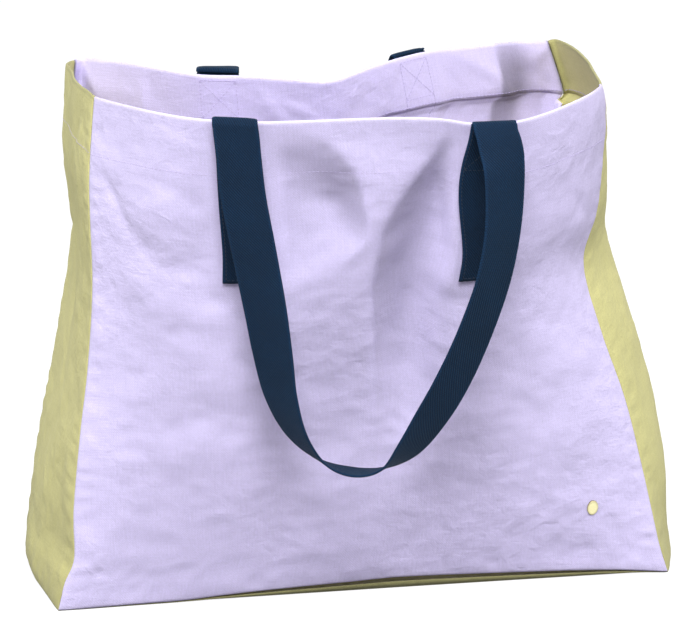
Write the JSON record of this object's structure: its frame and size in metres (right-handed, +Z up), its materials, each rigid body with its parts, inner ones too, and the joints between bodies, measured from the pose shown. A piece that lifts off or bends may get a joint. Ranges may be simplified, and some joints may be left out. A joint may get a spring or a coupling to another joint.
{
  "type": "tote bag",
  "caption": "Open canvas tote bag with wide sewn panels, side gussets, a base, a turned-in hem and webbing handles that fold over at the rim and hang.",
  "frame": {"origin": "middle of the base, on the surface the bag stands on", "axes": "+X to the right along the front panel, +Y from the front panel to the back panel, +Z up"},
  "size_m": [0.5125, 0.3035, 0.4051],
  "materials": {
    "lilac_canvas": "matt plain-weave cotton canvas, pale lilac",
    "olive_canvas": "matt plain-weave cotton canvas, dusty olive",
    "navy_webbing": "twill-woven cotton webbing, dark navy with a faint blue sheen",
    "navy_thread": "dark navy sewing thread",
    "lilac_thread": "lilac sewing thread",
    "pale_gold": "polished pale gold metal"
  },
  "bodies": {
    "bag": {"front_panel": "lilac_canvas", "back_panel": "lilac_canvas", "left_gusset": "olive_canvas", "right_gusset": "olive_canvas", "base_panel": "olive_canvas", "hem_stitching": "lilac_thread", "badge": "pale_gold", "front_handle_left_end": "navy_webbing", "front_handle_left_end_stitching": "navy_thread", "front_handle_right_end": "navy_webbing", "front_handle_right_end_stitching": "navy_thread", "back_handle_left_end": "navy_webbing", "back_handle_left_end_stitching": "navy_thread", "back_handle_right_end": "navy_webbing", "back_handle_right_end_stitching": "navy_thread"},
    "front_handle": {"front_handle_loop": "navy_webbing"},
    "back_handle": {"back_handle_loop": "navy_webbing"}
  },
  "joints": [
    {"name": "front_handle_swing", "type": "hinge", "parent": "bag", "child": "front_handle", "pos_m": [-0.01924, -0.17518, 0.39526], "axis": [-0.9949, 0.0981, 0.025], "range_deg": [0, 175]},
    {"name": "back_handle_swing", "type": "hinge", "parent": "bag", "child": "back_handle", "pos_m": [-0.02573, 0.01152, 0.40003], "axis": [0.9873, 0.1545, 0.0381], "range_deg": [0, 175]}
  ]
}
